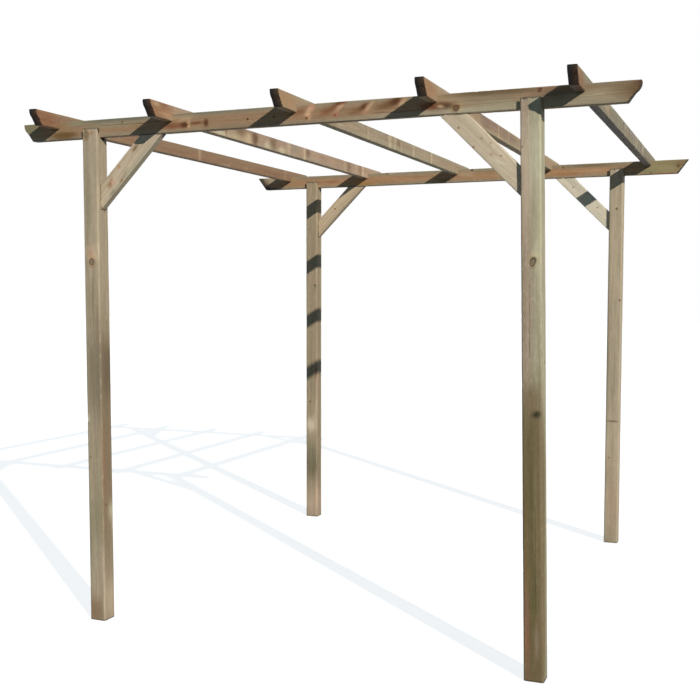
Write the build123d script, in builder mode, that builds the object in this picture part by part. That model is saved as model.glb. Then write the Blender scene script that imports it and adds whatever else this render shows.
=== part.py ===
from build123d import *
import math
import os

# Free-standing garden pergola of treated softwood, in millimetres.
# X runs along the two main beams, Y from front to rear along the rafters, Z up from the floor.
# The origin is on the floor, under the middle of the rafters.

# ---- posts ----
post_side = 95
post_arris = 8              # rounding of the four upright edges
bay_width = 2370            # between post centres, along the beams
bay_depth = 2910            # between post centres, along the rafters
headroom = 2625             # floor to the underside of the beams
cheek_height = 48           # how far the two cheeks of the post rise beside the beam
# Each post was set by hand: how far its top and its foot stand to the right of their even places.
post_drift = {
    "front_left": (-8, 6),
    "front_right": (-10, 37),
    "rear_left": (11, 10),
    "rear_right": (-10, -11),
}

# ---- main beams, one across each pair of posts ----
beam_depth = 95
beam_thickness = 45
beam_overhang = 470         # beam end past the post's centre
slot_play = 0.5             # on each side of the beam in the post's slot
front_beam_trim = 15        # the front beam is this much shorter at its left end

# ---- rafters, notched over the beams ----
rafter_depth = 80
rafter_thickness = 45
rafter_front_overhang = 215  # in front of the front beam
rafter_rear_overhang = 250   # behind the rear beam
rafter_end_inset = 241       # beam end to the centre of the outermost rafter
notch_depth = 37
notch_play = 1.0             # on each side of the beam in the rafter's notch
# How far each rafter stands to the right of its even place, at the front and rear beams.
rafter_drift = ((-10, 32), (-9, -22), (-8, -7), (5, -14), (-22, -30))
rafter_front_trim = (17, 0, 0, 0, 0)   # how much shorter each one is in front

# ---- knee braces, one in the corner of each post and its beam ----
brace_depth = 95
brace_thickness = 45
brace_reach = 388            # post face to the brace's lower edge, along the beam and down the post

# ---- finish of the sawn timbers ----
timber_arris = 3             # rounding of the long edges of beams, rafters and braces
rake_angle = 36.5            # undercut of the timber ends, from the vertical

# The moulded end, as shares of the timber's depth: a short square lead, a convex nose,
# a small hollow, then the straight undercut.
ogee_lead = 0.075
ogee_nose_radius = 0.53
ogee_hollow_radius = 0.42
ogee_nose_turn = 53          # degrees from the vertical where the nose meets the hollow

# ---- places worked out from the sizes above ----
beam_length = bay_width + 2 * beam_overhang
beam_top = headroom + beam_depth
beam_middle = headroom + beam_depth / 2
post_height = headroom + cheek_height
frame_shift = (rafter_front_overhang - rafter_rear_overhang) / 2
front_y = frame_shift - bay_depth / 2
rear_y = frame_shift + bay_depth / 2
rafter_length = bay_depth + beam_thickness + rafter_front_overhang + rafter_rear_overhang
rafter_top = beam_top + rafter_depth - notch_depth
rafter_pitch = (beam_length - 2 * rafter_end_inset) / (len(rafter_drift) - 1)

sides = {"left": -1, "right": 1}
rows = {"front": front_y, "rear": rear_y}


def ogee_waste(length, depth):
    """What the moulding cut takes off both ends of a timber centred on the sketch's origin."""
    end = length / 2
    with BuildSketch() as waste:
        with BuildLine():
            lead = Line((end, depth / 2), (end, depth / 2 - ogee_lead * depth))
            nose = JernArc(lead @ 1, (0, -1), ogee_nose_radius * depth, -ogee_nose_turn)
            hollow = JernArc(nose @ 1, nose % 1, ogee_hollow_radius * depth, ogee_nose_turn - rake_angle)
            undercut = Line(hollow @ 1, hollow @ 1 + (hollow % 1) * depth)
            Polyline(undercut @ 1, (end + depth, (undercut @ 1).Y), (end + depth, depth / 2), lead @ 0)
        make_face()
        mirror(about=Plane.YZ)
    return waste.sketch


def rake_waste(length, depth):
    """What a plain raked saw cut takes off both ends of a timber."""
    end = length / 2
    setback = depth * math.tan(math.radians(rake_angle))
    with BuildSketch() as waste:
        with BuildLine():
            Polyline(
                (end, depth / 2),
                (end - setback, -depth / 2),
                (end + depth, -depth / 2),
                (end + depth, depth / 2),
                close=True,
            )
        make_face()
        mirror(about=Plane.YZ)
    return waste.sketch


def make_post(side, y, drift):
    """A square post with rounded edges and a slot for the beam; drift is that of its top and foot."""
    top_x, foot_x = (side * bay_width / 2 + shift for shift in drift)
    with BuildPart() as post:
        for height, x in ((0, foot_x), (post_height, top_x)):
            with BuildSketch(Plane.XY.offset(height)) as section:
                with Locations((x, y)):
                    RectangleRounded(post_side, post_side, post_arris)
        loft()
        with BuildSketch(Plane.XY.offset(headroom)) as slot:
            with Locations((top_x, y)):
                Rectangle(2 * post_side, beam_thickness + 2 * slot_play)
        extrude(amount=cheek_height, mode=Mode.SUBTRACT)
    return post


def make_beam(y, trim, shape_ends):
    """A beam along X, lying in the slots of two posts, its left end shorter by the trim."""
    length = beam_length - trim
    middle = (trim / 2, y, beam_middle)
    with BuildPart() as beam:
        with BuildSketch(Plane(middle, x_dir=(0, 1, 0), z_dir=(1, 0, 0))) as section:
            RectangleRounded(beam_thickness, beam_depth, timber_arris)
        extrude(amount=length / 2, both=True)
        with BuildSketch(Plane(middle, x_dir=(1, 0, 0), z_dir=(0, -1, 0))) as ends:
            add(shape_ends(length, beam_depth))
        extrude(amount=beam_thickness, both=True, mode=Mode.SUBTRACT)
    return beam


def make_rafter(front_x, rear_x, trim):
    """A rafter over both beams, with moulded ends and a notch that fits over each beam."""
    length = rafter_length - trim
    along = Vector(rear_x - front_x, bay_depth, 0).normalized()
    across = Vector(along.Y, -along.X, 0)
    middle_y = trim / 2
    middle_x = front_x + (middle_y - front_y) / bay_depth * (rear_x - front_x)
    middle = (middle_x, middle_y, rafter_top - rafter_depth / 2)
    with BuildPart() as rafter:
        with BuildSketch(Plane(middle, x_dir=across, z_dir=along)) as section:
            RectangleRounded(rafter_thickness, rafter_depth, timber_arris)
        extrude(amount=length / 2, both=True)
        with BuildSketch(Plane(middle, x_dir=along, z_dir=across)) as cuts:
            add(ogee_waste(length, rafter_depth))
            with Locations(*[(y - middle_y, (notch_depth - rafter_depth) / 2) for y in rows.values()]):
                Rectangle(beam_thickness + 2 * notch_play, notch_depth)
        extrude(amount=rafter_thickness, both=True, mode=Mode.SUBTRACT)
    return rafter


def make_brace(side, y, drift):
    """A knee brace at 45 degrees, its ends cut to lie against the post and under the beam."""
    top_shift, foot_shift = (side * shift for shift in drift)
    lean = (foot_shift - top_shift) / post_height
    corner = bay_width / 2 - post_side / 2 + foot_shift - lean * headroom
    inner_reach = brace_reach - brace_depth * math.sqrt(2)
    against_post = Plane((side * corner, y, headroom), x_dir=(side, 0, 0), z_dir=(0, -side, 0))
    with BuildPart() as brace:
        with BuildSketch(against_post) as face:
            with BuildLine():
                Polyline(
                    (-inner_reach, 0),
                    (-brace_reach, 0),
                    (lean * brace_reach / (1 - lean), -brace_reach / (1 - lean)),
                    (lean * inner_reach / (1 - lean), -inner_reach / (1 - lean)),
                    close=True,
                )
            make_face()
        extrude(amount=brace_thickness / 2, both=True)
        fillet(brace.edges().filter_by(Axis((0, 0, 0), (-side, 0, 1))), radius=timber_arris)
    return brace


def save(piece, name):
    piece.part.label = name
    export_step(piece.part, f"parts/{name}.step")


os.makedirs("parts", exist_ok=True)

for row, y in rows.items():
    for side_name, side in sides.items():
        corner_name = f"{row}_{side_name}"
        drift = post_drift[corner_name]
        save(make_post(side, y, drift), f"post_{corner_name}")
        save(make_brace(side, y, drift), f"brace_{corner_name}")

# The front beam has moulded ends like the rafters; the rear beam's ends are sawn to a plain rake.
save(make_beam(front_y, front_beam_trim, ogee_waste), "beam_front")
save(make_beam(rear_y, 0, rake_waste), "beam_rear")

for index, (front_drift, rear_drift) in enumerate(rafter_drift):
    even_x = rafter_end_inset - beam_length / 2 + index * rafter_pitch
    rafter = make_rafter(even_x + front_drift, even_x + rear_drift, rafter_front_trim[index])
    save(rafter, f"rafter_{index + 1}")
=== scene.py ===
import math

import bmesh
import bpy
import numpy as np
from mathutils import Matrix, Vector


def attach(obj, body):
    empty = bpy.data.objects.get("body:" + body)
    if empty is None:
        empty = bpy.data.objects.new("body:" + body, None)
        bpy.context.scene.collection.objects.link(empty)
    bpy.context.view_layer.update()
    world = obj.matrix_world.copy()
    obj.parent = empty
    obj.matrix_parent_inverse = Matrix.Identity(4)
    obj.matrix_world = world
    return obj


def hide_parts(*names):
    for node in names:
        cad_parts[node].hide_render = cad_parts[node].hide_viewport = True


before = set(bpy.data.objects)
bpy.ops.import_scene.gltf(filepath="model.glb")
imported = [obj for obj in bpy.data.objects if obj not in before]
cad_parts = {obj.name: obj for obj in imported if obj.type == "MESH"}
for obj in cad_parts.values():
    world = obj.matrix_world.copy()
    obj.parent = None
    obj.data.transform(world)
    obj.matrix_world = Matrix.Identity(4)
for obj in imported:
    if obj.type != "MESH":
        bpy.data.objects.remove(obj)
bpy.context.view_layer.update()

# A pergola of pressure-treated softwood. Every timber is measured from its CAD node and made again
# as a fine mesh: s runs along the timber, a across it and b up it, in metres from its middle line.


# ---------------------------------------------------------------- sizes of the finish

MM = 0.001

# mesh
surface_pitch = 6.6 * MM      # between mesh lines along a long timber
brace_pitch = 3.4 * MM        # the same along a brace
section_pitch = 5.6 * MM      # between mesh lines round a timber
line_gap = 0.35 * MM          # of two mesh lines closer than this, one is kept
saw_edge = 1.3 * MM           # first mesh line in from a sawn end
arris_lines = (0, 0.586, 1)   # mesh lines round an arris, as shares of its radius
end_zone = 130 * MM           # the shaped end of a long timber lies within this
end_margin = 20 * MM          # plain timber between a shaped end and the even mesh lines
post_width = 80 * MM          # only the posts are wider than this
touching = 0.1 * MM           # points this close to a face lie on it
floor_reach = 60              # of the studio floor, each way, in metres

# depths of wear
planing_waves = 0.16 * MM
least_rubbing = 0.25 * MM     # of an arris
most_rubbing = 0.9 * MM       # added where it is rubbed hardest
bruise_depths = (0.5, 1.7)    # in mm
bruises_per_metre = 3
torn_saw_edge = 0.7 * MM
screw_dimple = 0.9 * MM
knot_shrinkage = 0.35 * MM
deepest_wear = 3.2 * MM       # of all these and the checks together

# drying checks
check_half_width = 0.9 * MM   # a check opens to twice this
check_sway = 2.4 * MM         # how far it strays from its line

# screws
screw_head = 8.6 * MM         # across a head
screw_lines = (-7.5, -4.2, 0, 4.2, 7.5)   # mesh lines beside a screw, in mm
dimple_rim = (4.4 * MM, 7.6 * MM)         # the timber rises from the head's dimple between these
head_sides = 24
head_sink = 0.25 * MM         # how far a head is driven under the face
brace_screw_inset = 52 * MM   # of a brace's screws from its ends
brace_screw_offset = 11 * MM  # and from its middle line
post_screw_offset = 19 * MM   # of the screws beside a post's slot from the post's middle line


# ---------------------------------------------------------------- measuring the timbers

def smooth(x, low, high):
    """0 below low, 1 above high, with an even turn between."""
    t = np.clip((x - low) / (high - low), 0, 1)
    return t * t * (3 - 2 * t)


def hump(x, size):
    """1 at 0, falling away over the size on both sides."""
    return np.exp(-((x / size) ** 2))


def spaced(stops, pitch):
    """Mesh lines that keep every stop and stand no further apart than the pitch."""
    stops = sorted(stops)
    kept = [stops[0]]
    for stop in stops[1:-1]:
        if stop - kept[-1] > line_gap and stops[-1] - stop > line_gap:
            kept.append(stop)
    kept.append(stops[-1])
    lines = [kept[0]]
    for low, high in zip(kept, kept[1:]):
        count = max(1, math.ceil((high - low) / pitch - 1e-6))
        lines += [low + (high - low) * k / count for k in range(1, count + 1)]
    return np.array(lines)


def node_points(name):
    """The points of a CAD node's mesh."""
    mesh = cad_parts[name].data
    points = np.empty(len(mesh.vertices) * 3, np.float32)
    mesh.vertices.foreach_get("co", points)
    return points.reshape(-1, 3).astype(float)


def widest_side(name):
    """The level direction that the widest upright triangle of a CAD node faces."""
    sides = [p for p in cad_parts[name].data.polygons if abs(p.normal.z) < 0.05]
    normal = max(sides, key=lambda p: p.area).normal
    return np.array([normal.x, normal.y, 0.0]) / math.hypot(normal.x, normal.y)


class Timber:
    """A timber's length, section, end shapes, notches and slot, all read from its CAD node."""

    def __init__(self, name, along, across, up):
        self.name = name
        self.axes = np.array([along, across, up], float)
        local = np.linalg.solve(self.axes.T, node_points(name).T).T
        low, high = local.min(0), local.max(0)
        self.origin = np.array([low[0], (low[1] + high[1]) / 2, (low[2] + high[2]) / 2])
        self.length, self.width, self.depth = high - low
        self.is_post = self.width > post_width
        self.lower_face = "b-" if self.axes[2][2] > 0 else "b+"
        s, a, b = (local - self.origin).T
        self.arris = (self.depth - np.ptp(b[a > self.width / 2 - touching / 10])) / 2
        zone = end_zone if self.length > 1 else self.length / 2
        self.foot_line = self.end_line(s, b, s < zone)
        self.head_line = self.end_line(s, b, s > self.length - zone)
        self.zones = (self.foot_line[1].max() + end_margin, self.head_line[1].min() - end_margin)
        inner = (s > zone) & (s < self.length - (1 * MM if self.is_post else zone))
        self.voids = self.find_voids(s[inner], b[inner])

    def end_line(self, s, b, near):
        """The outline of one end: heights b in order, and the s of each."""
        order = np.lexsort((s[near], b[near]))
        return b[near][order], s[near][order]

    def find_voids(self, s, b):
        """The notches under a rafter, or the slot in the head of a post: lows and highs of s and b."""
        if len(s) == 0:
            return []
        if self.is_post:
            return [(s.min(), self.length, b.min(), b.max())]
        steps = np.sort(s)
        groups = np.split(steps, np.flatnonzero(np.diff(steps) > 0.1) + 1)
        return [(g.min(), g.max(), -1, b.max()) for g in groups]

    def place(self, s, a, b):
        """Points of the timber in the shared frame."""
        return (np.stack([s, a, b], -1) + self.origin) @ self.axes

    def measure(self, point):
        """A point of the shared frame as s, a, b."""
        return np.linalg.solve(self.axes.T, point) - self.origin

    def round_arris(self, a, b):
        """Draws the section's square corners in to the rounding of its arrises."""
        x = np.abs(a) - (self.width / 2 - self.arris)
        y = np.abs(b) - (self.depth / 2 - self.arris)
        corner = (x > 0) & (y > 0)
        shrink = np.ones_like(a)
        shrink[corner] = np.maximum(x, y)[corner] / np.hypot(x, y)[corner]
        round_a = np.sign(a) * (self.width / 2 - self.arris + x * shrink)
        round_b = np.sign(b) * (self.depth / 2 - self.arris + y * shrink)
        return np.where(corner, round_a, a), np.where(corner, round_b, b)

    def shape_ends(self, s, b):
        """Slides the first and last mesh lines onto the shaped ends, and measures how far they are."""
        foot = np.interp(b, *self.foot_line)
        head = np.interp(b, *self.head_line)
        foot_zone, head_zone = self.zones
        near_foot = foot + s / foot_zone * (foot_zone - foot)
        near_head = head_zone + (s - head_zone) / (self.length - head_zone) * (head - head_zone)
        shaped = np.where(s < foot_zone, near_foot, np.where(s > head_zone, near_head, s))
        return shaped, np.minimum(shaped - foot, head - shaped)


def skin(solid):
    """Quads round the solid cells of a lattice, facing outwards, as corners (i, j, k)."""
    padded = np.pad(solid, 1)
    quads = []
    for axis in range(3):
        cells = np.moveaxis(padded, axis, 0)
        for outward in (True, False):
            inside, outside = (cells[:-1], cells[1:]) if outward else (cells[1:], cells[:-1])
            plane, p, q = np.argwhere(inside & ~outside).T
            ring = [(p - 1, q - 1), (p, q - 1), (p, q), (p - 1, q)]
            if outward == (axis == 1):
                ring.reverse()
            corners = np.stack([np.stack([plane, u, v], -1) for u, v in ring], 1)
            order = ((0, 1, 2), (1, 0, 2), (1, 2, 0))[axis]
            quads.append(np.moveaxis(corners, -1, 0)[order, ...])
    return np.concatenate(quads, 1)


def point_normals(points, quads):
    """Outward directions at the points, the mean of the quads that meet there."""
    corner = points[quads]
    face = np.cross(corner[:, 2] - corner[:, 0], corner[:, 3] - corner[:, 1])
    normals = np.zeros_like(points)
    for k in range(4):
        np.add.at(normals, quads[:, k], face)
    return normals / np.maximum(np.linalg.norm(normals, axis=1, keepdims=True), 1e-12)


# ---------------------------------------------------------------- wear, checks and knots

def waver(rng, points, sizes, count=14):
    """A smooth random field of about -1 to 1, whose humps have the given sizes along s, a and b."""
    waves = rng.normal(size=(count, 3)) / np.array(sizes)
    turns = rng.uniform(0, 2 * math.pi, count)
    return np.clip(np.sin(points @ waves.T + turns).sum(1) / math.sqrt(count), -1.3, 1.3) / 1.3


far = 9    # in knot radii, where a knot no longer shows

# each face's direction among s, a, b, and its side
FACES = {"a-": (1, -1), "a+": (1, 1), "b-": (2, -1), "b+": (2, 1)}


class Branch:
    """A knot: a branch that grows from the pith through a point of the surface."""

    def __init__(self, timber, pith, face, s, place, radius, rise=0.2, dark=0.6):
        axis, sign = FACES[face]
        self.target = np.array([s, place, place])
        self.target[axis] = sign * (timber.width, timber.depth)[axis - 1] / 2
        out = self.target - np.array([s, *pith])
        out[3 - axis] *= 0.35    # it meets its face nearly square, so that the knot stays round
        out[0] = rise * np.linalg.norm(out)
        self.reach = np.linalg.norm(out)
        self.line = out / self.reach
        self.across = np.cross(self.line, (1.0, 0, 0))
        self.across /= np.linalg.norm(self.across)
        self.with_grain = np.cross(self.across, self.line)
        self.radius = radius
        self.dark = dark

    def read(self, points):
        """Offsets from the branch's middle as shares of its radius, and that radius, which grows outwards."""
        from_target = points - self.target
        grown = np.clip(1 + from_target @ self.line / self.reach, 0.0, 1.35)
        radius = self.radius * np.maximum(grown, 0.12)
        u = from_target @ self.with_grain / radius
        v = from_target @ self.across / radius
        u[grown <= 0] = far
        return u, v, radius


def hidden_branches(timber, pith, shown, rng):
    """Whorls of small branches that come out on the faces whose knots aren't listed one by one."""
    halves = (timber.width / 2, timber.depth / 2)
    found = []
    s = rng.uniform(0.08, 0.35)
    while s < timber.length - 0.06:
        turn = rng.uniform(0, 2 * math.pi)
        count = int(rng.integers(2, 5))
        for k in range(count):
            angle = turn + 2 * math.pi * k / count + rng.normal(0, 0.25)
            push = np.array([math.cos(angle), math.sin(angle)])
            room = [((math.copysign(half, p) - c) / p, index)
                    for index, (p, half, c) in enumerate(zip(push, halves, pith))]
            reach, index = min(r for r in room if r[0] > 0)
            face = "ab"[index] + ("+" if push[index] > 0 else "-")
            place = pith[1 - index] + reach * push[1 - index]
            half = halves[1 - index]
            radius = rng.uniform(3.2, 8.5) * MM * min(1, reach / (30 * MM) + 0.35)
            clear = [abs(place - sign * half) > 2.4 * radius
                     for side, sign in (("+", 1), ("-", -1)) if "ba"[index] + side in shown]
            if face not in shown and abs(place) < half - timber.arris and all(clear):
                found.append(Branch(
                    timber, pith, face, s + rng.normal(0, 12 * MM), place, radius,
                    rng.uniform(0.1, 0.45), rng.uniform(0.3, 1.0),
                ))
        s += rng.uniform(0.28, 0.55)
    return found


class Check:
    """A drying check: a long narrow crack that runs with the grain."""

    def __init__(self, seed, face, start, end, place, depth):
        self.axis, self.sign = FACES[face]
        self.start, self.end = start, end
        self.place, self.depth = place, depth
        self.rng = np.random.default_rng(seed)

    def opening(self, s):
        middle, half = (self.start + self.end) / 2, (self.end - self.start) / 2
        return np.sqrt(np.clip(1 - ((s - middle) / half) ** 2, 0, 1))

    def bend(self, s):
        """How far the check strays from its line at s. Every call draws a new bend."""
        turns = np.linspace(self.start, self.end, 7)
        sway = self.rng.uniform(-check_sway, check_sway, 7)
        sway[[0, -1]] *= 0.3
        fine = 0.35 * MM * np.sin(s / (9 * MM) + 1.3 * np.sin(s / (31 * MM)))
        return np.interp(s, turns, sway) + fine * self.opening(s)


# ---------------------------------------------------------------- making a timber's mesh

def lattice(timber, checks, screws, pitch):
    """Points and outward quads of the timber before any wear, and each point's s, a and b."""
    half_a, half_b = timber.width / 2, timber.depth / 2
    ends = (0, saw_edge, 3.5 * saw_edge)
    stops = [
        [*ends, *timber.zones, *(timber.length - e for e in ends)],
        [0] + [sign * (half_a - timber.arris * k) for sign in (-1, 1) for k in arris_lines],
        [0] + [sign * (half_b - timber.arris * k) for sign in (-1, 1) for k in arris_lines],
    ]
    for s0, s1, b0, b1 in timber.voids:
        stops[0] += [s0, s1]
        stops[2] += [b for b in (b0, b1) if abs(b) < half_b]
    for check in checks:
        stops[3 - check.axis] += [check.place + k * check_half_width for k in (-1, 0, 1)]
        stops[0] += [check.start, check.end]
    for s, a, b in screws:
        stops[0] += [s + k * MM for k in screw_lines]
        on_b_face = abs(abs(b) - half_b) < 3 * MM
        stops[1 if on_b_face else 2].append(a if on_b_face else b)
    lines = [spaced(*pair) for pair in zip(stops, (pitch, section_pitch, section_pitch))]

    cell_s, _, cell_b = np.meshgrid(*((x[1:] + x[:-1]) / 2 for x in lines), indexing="ij")
    solid = np.ones(cell_s.shape, bool)
    for s0, s1, b0, b1 in timber.voids:
        solid &= ~((cell_s > s0) & (cell_s < s1) & (cell_b > b0) & (cell_b < b1))
    corners = skin(solid)
    shape = [len(x) for x in lines]
    used, quads = np.unique(np.ravel_multi_index(tuple(corners), shape), return_inverse=True)
    nominal = np.stack([x[index] for x, index in zip(lines, np.unravel_index(used, shape))])
    return nominal, quads.reshape(corners.shape[1:])


def open_checks(timber, checks, nominal):
    """Bends the mesh lines to each crack: new a and b, how deep each point sinks and how open it is."""
    halves = (timber.width / 2, timber.depth / 2)
    moved = nominal.copy()
    inward, openness = np.zeros((2, nominal.shape[1]))
    for check in checks:
        across = nominal[3 - check.axis]
        here = np.abs(nominal[check.axis] - check.sign * halves[check.axis - 1]) < touching / 10
        bell = hump(across - check.place, 11 * MM)
        bell *= smooth(halves[2 - check.axis] - timber.arris - np.abs(across), 0, 8 * MM)
        opening = check.opening(nominal[0])
        moved[3 - check.axis] += np.where(here, check.bend(nominal[0]) * bell * opening ** 0.5, 0)
        middle = here & (np.abs(across - check.place) < touching / 2)
        inward += np.where(middle, check.depth * opening, 0)
        openness = np.maximum(openness, np.where(middle, opening, 0))
    return moved[1], moved[2], inward, openness


def wear(timber, rng, nominal, local, end_distance, dents, screws):
    """How deep planing, rubbing, bruises and screws sink each point, and how exposed it is."""
    s, a, b = local.T
    past_a = np.abs(nominal[1]) - timber.width / 2
    past_b = np.abs(nominal[2]) - timber.depth / 2
    reach = max(2.2 * timber.arris, 7 * MM)
    exposed = np.clip((np.minimum(past_a, past_b) + reach) / reach, 0, 1)
    inward = planing_waves * (1 + waver(rng, local, (0.09, 0.03, 0.03)))
    rubbed = 0.5 + 0.5 * waver(rng, local, (0.045, 0.2, 0.2), 22)
    inward += (least_rubbing + most_rubbing * rubbed ** 2) * exposed ** 1.5
    for _ in range(int(timber.length * bruises_per_metre)):
        spot, deep = rng.uniform(0.02, timber.length - 0.02), rng.uniform(*bruise_depths) * MM
        side_a, side_b = rng.choice([-1, 1], 2)
        near = hump(s - spot, rng.uniform(4, 9) * MM)
        inward += deep * near * exposed * ((np.sign(a) == side_a) & (np.sign(b) == side_b))
    for *spot, size, deep in dents:
        inward += deep * hump(np.linalg.norm(local - spot, axis=1), size)
    inward += torn_saw_edge * hump(end_distance, 1.0 * MM) * ((past_a > -touching) | (past_b > -touching))
    for place in screws:
        inward += screw_dimple * (1 - smooth(np.linalg.norm(local - place, axis=1), *dimple_rim))
    return inward, exposed


def grow_knots(branches, local, grain):
    """Bends the grain round the branches. Gives each point's nearest knot, how dark it is and how sunk."""
    nearest = np.full(len(local), float(far))
    knot = np.zeros((len(local), 3))
    knot[:, 0] = far
    dark, inward = np.zeros((2, len(local)))
    for branch in branches:
        u, v, radius = branch.read(local)
        span = np.hypot(u, v)
        pushed = np.exp(-np.clip(span - 0.5, 0, far) * 1.15) * (span < 6)
        grain -= (v * radius * pushed)[:, None] * branch.across * 0.8
        closer = span < nearest
        nearest = np.where(closer, span, nearest)
        knot[closer, 0], knot[closer, 1] = u[closer], v[closer]
        dark = np.where(closer, branch.dark, dark)
        inward += knot_shrinkage * hump(span, 1)
    knot[:, 2] = 1 - smooth(nearest, 2.6, 3.6)
    knot[:, :2] = np.clip(knot[:, :2], -6, 6)
    return knot, dark, inward


def lay_stains(patches, local):
    """The colour and strength of the patches at each point, each patch laid over the ones before."""
    stain = np.zeros((len(local), 4))
    for colour, middle, size, strength, tilt in patches:
        along, across, up = (local - np.array(middle)).T
        run = along * math.cos(tilt) + up * math.sin(tilt)
        climb = up * math.cos(tilt) - along * math.sin(tilt)
        gap = (run / size[0]) ** 2 + (across / size[1]) ** 2 + (climb / size[2]) ** 2
        share = strength * np.exp(-gap)
        total = stain[:, 3] + share * (1 - stain[:, 3])
        blend = np.where(total > 0, share / np.maximum(total, 1e-9), 0)[:, None]
        stain[:, :3] += (np.array(tint(colour)) - stain[:, :3]) * np.clip(blend, 0, 1)
        stain[:, 3] = total
    return stain


def note(mesh, name, kind, values):
    """Leaves an attribute on the mesh's points for node trees to read."""
    layer = mesh.attributes.new(name, kind, "POINT")
    field = {"FLOAT": "value", "FLOAT_VECTOR": "vector", "FLOAT_COLOR": "color"}[kind]
    layer.data.foreach_set(field, np.ascontiguousarray(values, np.float32).ravel())


def put_in_scene(name, data):
    thing = bpy.data.objects.new(name, data)
    bpy.context.scene.collection.objects.link(thing)
    return thing


def build_timber(timber, seed, pith, branches, checks, patches, bars, dents, screws):
    """Makes the mesh and leaves on it what the finish needs to know: grain, knots, ends and stains."""
    rng = np.random.default_rng(seed)
    pitch = brace_pitch if timber.length < 1 else surface_pitch
    nominal, quads = lattice(timber, checks, screws, pitch)
    a, b, inward, openness = open_checks(timber, checks, nominal)
    a, b = timber.round_arris(a, b)
    s, end_distance = timber.shape_ends(nominal[0], b)
    local = np.stack([s, a, b], -1)
    points = timber.place(s, a, b)
    if np.linalg.det(timber.axes) < 0:
        quads = quads[:, ::-1]
    normals = point_normals(points, quads)

    worn, exposed = wear(timber, rng, nominal, local, end_distance, dents, screws)
    grain = local - (0, *pith)
    grain[:, 0] += rng.uniform(1, 60)
    knot, dark, sunk = grow_knots(branches, local, grain)
    pale_bar = np.zeros(len(s))
    for middle, width, strength in bars:
        share = strength * (1 - smooth(np.abs(s - middle), width / 2 - 4 * MM, width / 2 + 8 * MM))
        pale_bar = np.maximum(pale_bar, share)

    points -= normals * np.minimum(inward + worn + sunk, deepest_wear)[:, None]
    mesh = bpy.data.meshes.new(timber.name + "_finished")
    mesh.from_pydata(points.tolist(), [], quads.tolist())
    mesh.shade_smooth()
    mesh.set_sharp_from_angle(angle=math.radians(34))
    note(mesh, "grain", "FLOAT_VECTOR", grain)
    note(mesh, "knot", "FLOAT_VECTOR", knot)
    note(mesh, "knot_dark", "FLOAT", dark)
    note(mesh, "ends", "FLOAT_VECTOR", np.stack([end_distance, exposed, openness], -1))
    note(mesh, "stain", "FLOAT_COLOR", lay_stains(patches, local))
    note(mesh, "pale_bar", "FLOAT", pale_bar)
    return put_in_scene(timber.name + "_timber", mesh)


# ---------------------------------------------------------------- node workbench

def tint(code):
    """A colour written as a web code, as the light it stands for."""
    parts = [int(code[k:k + 2], 16) / 255 for k in (1, 3, 5)]
    return [p / 12.92 if p <= 0.04045 else ((p + 0.055) / 1.055) ** 2.4 for p in parts]


class Signal:
    """What comes out of a node. Arithmetic with it lays out the nodes that do the sum."""

    def __init__(self, bench, socket):
        self.bench, self.socket = bench, socket

    def __add__(self, other):
        return self.bench.math("ADD", self, other)

    def __radd__(self, other):
        return self.bench.math("ADD", other, self)

    def __sub__(self, other):
        return self.bench.math("SUBTRACT", self, other)

    def __rsub__(self, other):
        return self.bench.math("SUBTRACT", other, self)

    def __mul__(self, other):
        return self.bench.math("MULTIPLY", self, other)

    def __truediv__(self, other):
        return self.bench.math("DIVIDE", self, other)


class Laid:
    """A node laid out on a bench, its outputs read as signals by name or place."""

    def __init__(self, bench, node):
        self.bench, self.node = bench, node

    def __getitem__(self, key):
        return Signal(self.bench, self.node.outputs[key])


class Bench:
    """Short ways to lay out nodes in one tree. Any value may be a number or a signal."""

    def __init__(self, tree):
        self.tree = tree

    def put(self, kind, settings=None, *values, **inputs):
        """Lays out a node and feeds its inputs, by place and then by name."""
        node = self.tree.nodes.new(kind)
        for key, value in (settings or {}).items():
            setattr(node, key, value)
        for socket, value in zip(node.inputs, values):
            self.feed(socket, value)
        for key, value in inputs.items():
            self.feed(node.inputs[key.replace("_", " ")], value)
        return Laid(self, node)

    def feed(self, socket, value):
        if isinstance(value, Signal):
            self.tree.links.new(value.socket, socket)
        elif value is not None:
            socket.default_value = value

    def math(self, operation, *values):
        return self.put("ShaderNodeMath", {"operation": operation}, *values)[0]

    def vector(self, operation, *values):
        laid = self.put("ShaderNodeVectorMath", {"operation": operation}, *values)
        return laid["Value" if operation in ("LENGTH", "DOT_PRODUCT") else "Vector"]

    def scaled(self, vector, factor):
        return self.put("ShaderNodeVectorMath", {"operation": "SCALE"}, vector, Scale=factor)[0]

    def parts(self, vector):
        laid = self.put("ShaderNodeSeparateXYZ", Vector=vector)
        return laid[0], laid[1], laid[2]

    def noise(self, vector, detail=2.0, rough=0.5):
        return self.put("ShaderNodeTexNoise", Vector=vector, Scale=1.0, Detail=detail, Roughness=rough)

    def step(self, value, low, high, start=0.0, end=1.0):
        return self.put(
            "ShaderNodeMapRange", {"interpolation_type": "SMOOTHSTEP"},
            Value=value, From_Min=low, From_Max=high, To_Min=start, To_Max=end,
        )[0]

    def fade(self, value, low, high):
        return self.step(value, low, high, 1.0, 0.0)

    def mix(self, share, first, second, blend="MIX"):
        colours = (c if isinstance(c, Signal) else (*c, 1) for c in (first, second))
        settings = {"data_type": "RGBA", "blend_type": blend}
        return self.put("ShaderNodeMix", settings, share, *[None] * 5, *colours)[2]

    def dye(self, colour, shade):
        return self.mix(1.0, colour, shade, "MULTIPLY")

    def attribute(self, name):
        return self.put("ShaderNodeAttribute", {"attribute_name": name})


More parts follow.
